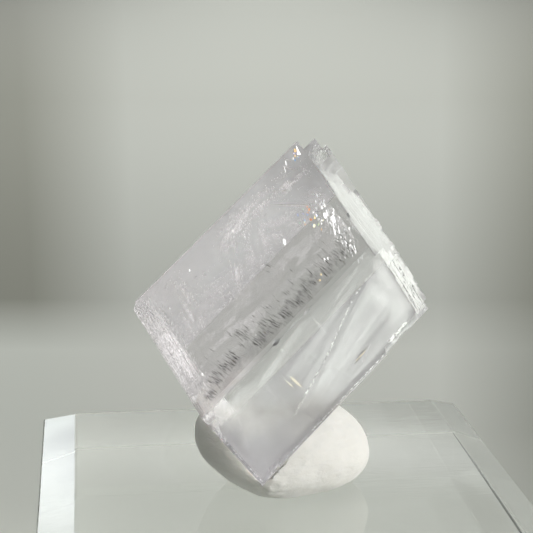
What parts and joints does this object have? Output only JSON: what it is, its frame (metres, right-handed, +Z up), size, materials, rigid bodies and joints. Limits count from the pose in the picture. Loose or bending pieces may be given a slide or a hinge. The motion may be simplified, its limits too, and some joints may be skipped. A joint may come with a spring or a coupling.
{
  "type": "calcite with rutile",
  "caption": "Clear calcite cleavage rhomb with a band of dark rutile needles, stood on its corner in white mounting putty on a clear bevelled display block.",
  "frame": {"origin": "centre of the display block's underside", "axes": "+Z up, +X to the right and +Y to the back as the picture faces the block, whose sides lie along X and Y"},
  "size_m": [0.032, 0.032, 0.0352],
  "materials": {
    "calcite": "clear, faintly lilac, with frosted cleavage edges",
    "rutile": "dark, fine and lustrous",
    "putty": "matt, hand rolled",
    "acrylic": "polished clear"
  },
  "bodies": {
    "root": {"calcite_plate": "calcite", "calcite_body": "calcite", "rutile_needles": "rutile", "mounting_putty": "putty", "display_block": "acrylic"}
  },
  "joints": []
}
